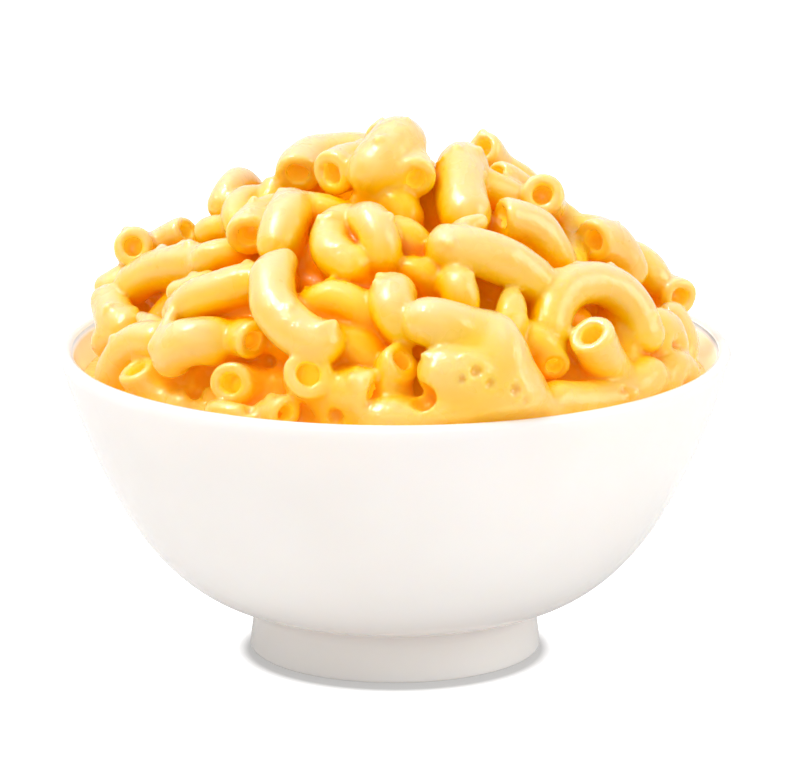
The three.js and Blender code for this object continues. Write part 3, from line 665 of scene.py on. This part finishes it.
def add_ball(field, plain, centre, radius, blend):
    """Adds a ball of sauce to the field, or takes it out where its radius is below zero."""
    margin = abs(radius) + BALL_MARGIN
    here = near(centre - margin, centre + margin)
    x, y, z = (axis[here] - at for axis, at in zip(plain, centre))
    ball = np.sqrt(x**2 + y**2 + z**2) - abs(radius)
    if radius > 0:
        field[here] = smooth_min(field[here], ball, blend)
    else:
        field[here] = -smooth_min(-field[here], ball, blend)


def add_sauce_marks(field, plain):
    """Sinks the pits and lays the beads."""
    for x, y, radius in PITS:
        start, end = (off_drawing(x, y, depth) for depth in PIT_DEPTHS)
        centre = first_hit(field, start, (end - start) / HIT_STEPS)
        if centre is not None:
            add_ball(field, plain, centre, -radius, PIT_BLEND)
    dice = Dice(SEED + 3)
    for _ in range(BEAD_COUNT):
        reach, turn = RIM_RADIUS * math.sqrt(dice.random()), dice.between(0, 2 * math.pi)
        start = (reach * math.cos(turn), reach * math.sin(turn), HEAP_HIGH[2])
        centre = first_hit(field, start, (0, 0, -BEAD_STEP))
        radius = dice.between(*BEAD_RADII)
        if centre is not None:
            add_ball(field, plain, centre, radius, BEAD_BLEND)


def cavity_distance(x, y, z):
    """How far a point is outside the bowl's hollow and the space that widens over it."""
    line = hollow_line(GAP)[: WALL_STEPS + 1][::-1]
    radius = np.interp(z, line[:, 1], line[:, 0]) + np.clip(z - BOWL_HEIGHT - GAP, 0, OVERHANG)
    return np.hypot(x, y) - radius


def heap_field():
    """Over the grid: the signed distance from the heap's surface, the number of the nearest elbow, how thick
    the sauce is on it and how far inside a bore a point is."""
    rng = np.random.default_rng(SEED)
    plain = np.meshgrid(*grid_axes(), indexing="ij", copy=True)
    across = np.hypot(plain[0], plain[1])
    core = np.minimum(mound_top(np.minimum(across, CORE_REACH)) - CORE_DEPTH, CORE_TOP)
    field = (plain[2] - core) * np.float32(CORE_SLOPE)
    nearest = np.zeros(field.shape, np.int16)
    closest = field.copy()
    bores = np.full(field.shape, -FAR, np.float32)
    x, y, z = (waved(axis, rng) for axis in plain)
    for number, elbow in enumerate(all_elbows(), 1):
        here = near(*elbow.reach())
        if field[here].size == 0:
            continue
        distance, bore = (part.astype(np.float32) for part in elbow.distance(x[here], y[here], z[here]))
        nearer = distance < closest[here]
        nearest[here][nearer] = number
        closest[here][nearer] = distance[nearer]
        bores[here] = np.maximum(bores[here], bore)
        field[here] = smooth_min(field[here], distance, FILLET)
    for first, last, radius in SAUCE_RUNS:
        first, last = off_drawing(*first), off_drawing(*last)
        margin = radius + SAUCE_BLEND
        ends = np.array((first, last))
        here = near(ends.min(axis=0) - margin, ends.max(axis=0) + margin)
        run = run_distance(x[here], y[here], z[here], first, last, radius).astype(np.float32)
        field[here] = smooth_min(field[here], run, SAUCE_BLEND)
    crowd = blurred((field < 0).astype(np.float32), round(CLOG_REACH / CELL))
    field = smooth_min(field, (CLOG_AT - crowd) * CLOG_SLOPE, FILLET)
    add_sauce_marks(field, plain)
    sauce = closest - field
    field = -smooth_min(-field, -cavity_distance(*plain), RIM_ROUNDING)
    field = np.maximum(field, HEAP_UNDERSIDE - plain[2])
    return field, nearest, sauce, bores


def blurred(values, reach):
    """Three running means along each axis, which come close to a Gaussian."""
    for axis in range(3):
        for _ in range(3):
            padded = np.concatenate([np.repeat(np.take(values, [0], axis), reach + 1, axis), values,
                                     np.repeat(np.take(values, [-1], axis), reach, axis)], axis)
            total = np.cumsum(padded, axis=axis, dtype=np.float32)
            n = values.shape[axis]
            high = np.take(total, np.arange(2 * reach + 1, 2 * reach + 1 + n), axis)
            values = (high - np.take(total, np.arange(n), axis)) / (2 * reach + 1)
    return values


def at_points(grid, points):
    """The grid's values at points given in grid steps."""
    low = np.clip(np.floor(points).astype(int), 0, np.array(grid.shape) - 2)
    part = np.clip(points - low, 0, 1)
    value = 0
    for corner in np.ndindex(2, 2, 2):
        weight = np.prod(np.where(np.array(corner) == 1, part, 1 - part), axis=1)
        index = low + corner
        value = value + weight * grid[index[:, 0], index[:, 1], index[:, 2]]
    return value


def smooth_mesh(name, verts, triangles, quads):
    """A mesh from arrays of its points and of its faces, whose order is turned round."""
    mesh = bpy.data.meshes.new(name)
    mesh.vertices.add(len(verts))
    mesh.vertices.foreach_set("co", verts.astype(np.float32).ravel())
    corners = np.concatenate([quads[:, ::-1].ravel(), triangles[:, ::-1].ravel()]).astype(np.int32)
    starts = np.concatenate([4 * np.arange(len(quads)), 4 * len(quads) + 3 * np.arange(len(triangles))])
    mesh.loops.add(len(corners))
    mesh.loops.foreach_set("vertex_index", corners)
    mesh.polygons.add(len(starts))
    mesh.polygons.foreach_set("loop_start", starts.astype(np.int32))
    mesh.update(calc_edges=True)
    mesh.validate()
    mesh.shade_smooth()
    return mesh


def make_heap(pasta):
    """The elbows and the sauce on them, above the bowl's rim and just below it."""
    field, nearest, sauce, bores = heap_field()
    level = openvdb.FloatGrid(background=BAND)
    level.copyFromArray(np.clip(field, -BAND, BAND))
    points, triangles, quads = level.convertToPolygons(0.0, ADAPTIVITY)
    mesh = smooth_mesh("macaroni", (HEAP_LOW + points * CELL) * MM, triangles, quads)
    inside = (field < 0).astype(np.float32)
    tints = np.random.default_rng(SEED + 2).uniform(0, 1, nearest.max() + 1)
    step = np.rint(points).astype(int)
    layers = {
        "crowded": at_points(blurred(inside, CROWDED_REACH), points),
        "hidden": at_points(blurred(inside, HIDDEN_REACH), points),
        "tint": tints[nearest[step[:, 0], step[:, 1], step[:, 2]]],
        "sauce": at_points(sauce, points),
        "bore": at_points(bores, points),
    }
    for name, values in layers.items():
        layer = mesh.attributes.new(name, "FLOAT", "POINT")
        layer.data.foreach_set("value", values.astype(np.float32))
    mesh.materials.append(pasta)
    heap = add_object("macaroni", mesh)
    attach(heap, "root")
    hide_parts("macaroni_heap")


def make_core(pasta):
    """The sauce under the elbows, down to the bowl's floor."""
    line = hollow_line(GAP, POOL_STEPS)
    line = line[line[:, 1] < POOL_TOP[0][1]][::-1]
    core = turned("sauce_core", np.vstack([line, POOL_TOP]), POOL_SIDES)
    core.data.materials.append(pasta)
    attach(core, "root")
    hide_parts("macaroni_heap")


# ---------------------------------------------------------------------------------------------- materials

class Nodes:
    """A short way to write the nodes of a material or a world."""

    def __init__(self, owner):
        owner.use_nodes = True
        self.owner = owner
        self.tree = owner.node_tree

    def put(self, target, value):
        """Sets an input to a value, or links it to an output."""
        if isinstance(value, bpy.types.NodeSocket):
            self.tree.links.new(value, target)
        else:
            target.default_value = value

    def fill(self, name, inputs):
        """Fills in the inputs of a node that is there from the start."""
        for key, value in inputs.items():
            self.put(self.tree.nodes[name].inputs[key], value)

    def add(self, kind, output, inputs=(), **settings):
        """Adds a node with its inputs, and returns one of its outputs."""
        node = self.tree.nodes.new("ShaderNode" + kind)
        for key, value in settings.items():
            setattr(node, key, value)
        for key, value in dict(inputs).items():
            self.put(node.inputs[key], value)
        return node.outputs[output]

    def attribute(self, name):
        return self.add("Attribute", "Fac", attribute_name=name)

    def geometry(self, output):
        return self.add("NewGeometry", output)

    def along(self, axis, vector):
        return self.add("SeparateXYZ", axis, {0: vector})

    def noise(self, scale, detail=2.0, roughness=0.5):
        where = self.add("TexCoord", "Object")
        inputs = {"Vector": where, "Scale": scale, "Detail": detail, "Roughness": roughness}
        return self.add("TexNoise", "Fac", inputs)

    def range(self, value, low, high, to_low=0.0, to_high=1.0):
        return self.add("MapRange", "Result", enumerate((value, low, high, to_low, to_high)))

    def math(self, operation, a, b):
        return self.add("Math", 0, {0: a, 1: b}, operation=operation)

    def vector_math(self, operation, a, b):
        return self.add("VectorMath", "Value", {0: a, 1: b}, operation=operation)

    def mix(self, share, a, b):
        return self.add("Mix", 2, {"Factor": share, 6: a, 7: b}, data_type="RGBA")

    def bump(self, height, distance, strength, over=None):
        """The normal of a height's relief, on its own or over another relief."""
        inputs = {"Height": height, "Distance": distance, "Strength": strength}
        if over is not None:
            inputs["Normal"] = over
        return self.add("Bump", "Normal", inputs)


def rgba(red, green, blue):
    """A colour given in sRGB from 0 to 255, as the linear values that a shader takes."""
    shares = [c / 255 for c in (red, green, blue)]
    linear = [c / 12.92 if c <= 0.04045 else ((c + 0.055) / 1.055) ** 2.4 for c in shares]
    return (*linear, 1.0)


def porcelain():
    nodes = Nodes(bpy.data.materials.new("white glaze"))
    broad, small = nodes.noise(28), nodes.noise(420, 3)
    at = nodes.geometry("Position")
    height = nodes.along("Z", at)
    glaze = nodes.mix(nodes.range(broad, 0.35, 0.65), rgba(244, 242, 238), rgba(248, 246, 243))
    wave = nodes.bump(broad, 0.0004, 0.35)
    # Painted glow: emission on the thin wall beside the food, whose inner side faces the axis, stands in for
    # light from the right shining through it.
    outwards = nodes.vector_math("DOT_PRODUCT", at, nodes.geometry("Normal"))
    inner = nodes.math("MULTIPLY", nodes.range(outwards, 0.0, -0.01), nodes.range(height, *WALL_GLOW_HEIGHTS))
    painted_glow = nodes.range(nodes.along("X", at), *WALL_GLOW_X, *WALL_GLOW)
    nodes.fill("Principled BSDF", {
        "Base Color": nodes.mix(nodes.range(height, *FOOT_TINT), rgba(245, 239, 234), glaze),
        "Roughness": nodes.range(small, 0.3, 0.7, 0.10, 0.17),
        "Normal": nodes.bump(small, 0.00002, 0.4, wave),
        "Emission Strength": nodes.math("MULTIPLY", painted_glow, inner),
        "Emission Color": rgba(255, 246, 238),
        "Coat Weight": 0.4,
        "Coat Roughness": 0.06,
        "Subsurface Weight": 0.6,
        "Subsurface Radius": (1.0, 0.85, 0.7),
        "Subsurface Scale": SCATTER_SCALE,
    })
    return nodes.owner


def cheese_pasta():
    """The pasta and its sauce, from the layers of the heap's mesh: an elbow's own tint, how thick the sauce
    is, how far inside a bore a point is, and the shares of pasta near it (crowded) and round it (hidden)."""
    nodes = Nodes(bpy.data.materials.new("cheese pasta"))
    tint, sauce, bore = nodes.attribute("tint"), nodes.attribute("sauce"), nodes.attribute("bore")
    crowded, hidden = nodes.attribute("crowded"), nodes.attribute("hidden")
    patches, grain = nodes.noise(180), nodes.noise(900, 3)
    colour = nodes.mix(tint, rgba(255, 206, 86), rgba(255, 199, 64))
    colour = nodes.mix(nodes.range(patches, 0.4, 0.65), colour, rgba(255, 203, 80))
    colour = nodes.mix(nodes.range(sauce, 0.1, 0.8), colour, rgba(255, 208, 104))
    # Painted shade: deeper colours where more pasta hides a point.
    for low, high, painted_shade in PAINTED_SHADE_COLOURS:
        colour = nodes.mix(nodes.range(hidden, low, high), colour, rgba(*painted_shade))

    # Painted light and shade: paler where light falls on it from above, deep orange where it is crowded, a
    # warm glow by the rim and a pale glow in bores.
    upwards = nodes.along("Z", nodes.geometry("Normal"))
    height = nodes.along("Z", nodes.geometry("Position"))
    open_air = nodes.range(hidden, *OPEN_AIR, 1.0, 0.0)
    lit = nodes.math("MULTIPLY", nodes.range(upwards, 0.1, 1.0, 0.0, 0.75), open_air)
    half_open = nodes.range(hidden, *OPEN_AIR, 1.0, 0.5)
    by_rim = nodes.math("MULTIPLY", nodes.range(height, *BY_RIM, 1.0, 0.0), half_open)
    in_bore = nodes.range(bore, -0.5, 0.3)
    # Painted light: faces that point up into the open are paler.
    colour = nodes.mix(lit, colour, rgba(255, 215, 172))
    # Painted shade: deep orange where pasta crowds round a point.
    colour = nodes.mix(nodes.range(crowded, 0.6, 0.8), colour, rgba(238, 130, 0))
    # Painted light: a warm orange by the rim.
    colour = nodes.mix(nodes.math("MULTIPLY", by_rim, RIM_PAINTED_LIGHT), colour, rgba(255, 182, 66))
    # Painted light: pale in the bores.
    colour = nodes.mix(in_bore, colour, rgba(255, 224, 84))

    # A painted glow, as emission, for the light that the sauce passes on in the gaps, in the bores and by the
    # rim.
    glow = nodes.math("ADD", nodes.range(hidden, 0.4, 0.75, 0.0, GLOW_HIDDEN),
                      nodes.range(in_bore, 0.0, 1.0, 0.0, GLOW_BORE))
    glow = nodes.math("ADD", glow, nodes.math("MULTIPLY", by_rim, GLOW_RIM))
    relief = nodes.bump(patches, 0.0003, 0.25)
    nodes.fill("Principled BSDF", {
        "Base Color": colour,
        "Roughness": nodes.range(patches, 0.3, 0.7, 0.22, 0.38),
        "Normal": nodes.bump(grain, 0.00006, 0.35, relief),
        "Emission Strength": glow,
        "Emission Color": (1.0, 0.55, 0.0, 1.0),
        "Specular IOR Level": 0.55,
        # Painted reflection: the reflections of hidden spots take an orange tint of shade.
        "Specular Tint": nodes.mix(nodes.range(hidden, *COVERED), WHITE, rgba(255, 150, 20)),
        "Coat Weight": nodes.range(hidden, *COVERED, 1.0, 0.2),
        "Coat Normal": nodes.bump(nodes.noise(330, 4, 0.6), 0.0008, 0.7),
        "Coat Roughness": 0.05,
        "Coat IOR": 1.6,
        "Subsurface Weight": 0.9,
        "Subsurface Radius": (0.8, 0.7, 0.1),
        "Subsurface Scale": SCATTER_SCALE,
    })
    return nodes.owner


# ---------------------------------------------------------------------------------------------- the studio

def make_floor():
    mesh = bpy.data.meshes.new("floor")
    corners = [(x * FLOOR_HALF, y * FLOOR_HALF, 0) for x, y in ((-1, -1), (1, -1), (1, 1), (-1, 1))]
    mesh.from_pydata(corners, [], [(0, 1, 2, 3)])
    nodes = Nodes(bpy.data.materials.new("white table"))
    # The camera sees the floor glow white, with a painted shadow round the foot.
    away = nodes.vector_math("DISTANCE", nodes.geometry("Position"), SHADE_CENTRE)
    glow = nodes.range(away, *SHADE_RADII, *FLOOR_GLOW)
    bounce = nodes.range(away, *BOUNCE_RADII, *FLOOR_BOUNCE)
    seen = nodes.add("LightPath", "Is Camera Ray")
    nodes.fill("Principled BSDF", {
        "Base Color": FLOOR_GREY,
        "Roughness": 0.6,
        "Emission Color": nodes.mix(seen, rgba(255, 252, 249), WHITE),
        "Emission Strength": nodes.range(seen, 0.0, 1.0, bounce, glow),
    })
    mesh.materials.append(nodes.owner)
    floor = add_object("floor", mesh)


def make_world():
    """A white room that gives less light than the camera sees, and is darker in reflections but for its
    backdrop."""
    nodes = Nodes(bpy.data.worlds.new("studio"))
    light = nodes.range(nodes.add("LightPath", "Is Camera Ray"), 0.0, 1.0, WORLD_LIGHT, 1.0)
    away = nodes.along("Y", nodes.add("TexCoord", "Generated"))
    mirrored = nodes.range(away, *BACKDROP, WORLD_MIRRORED, 1.0)
    is_mirrored = nodes.add("LightPath", "Is Glossy Ray")
    strength = nodes.range(is_mirrored, 0.0, 1.0, light, mirrored)
    nodes.fill("Background", {"Color": WHITE, "Strength": strength})
    bpy.context.scene.world = nodes.owner


def make_lamps():
    for name, (place, width, watts) in LAMPS.items():
        light = bpy.data.lights.new(name, "AREA")
        light.shape = "DISK"
        light.size = width
        light.energy = watts
        lamp = add_object(name, light)
        lamp.location = place
        lamp.rotation_euler = (Vector(LAMP_AIM) - Vector(place)).to_track_quat("-Z", "Y").to_euler()


def make_camera():
    eye, ahead, _ = camera_axes()
    optics = bpy.data.cameras.new("camera")
    optics.lens = LENS
    optics.sensor_width = SENSOR
    optics.clip_start = CLIP_START
    camera = add_object("camera", optics)
    level = ahead.to_track_quat("-Z", "Y").to_matrix()
    turn = Matrix.Rotation(-PAN, 3, "Y") @ Matrix.Rotation(TILT, 3, "X")
    camera.matrix_world = Matrix.Translation(eye * MM) @ (level @ turn).to_4x4()
    bpy.context.scene.camera = camera


make_camera()
make_world()
make_lamps()
make_floor()
make_bowl()
mac_and_cheese = cheese_pasta()
make_core(mac_and_cheese)
make_heap(mac_and_cheese)
bpy.context.scene.view_settings.view_transform = "Standard"
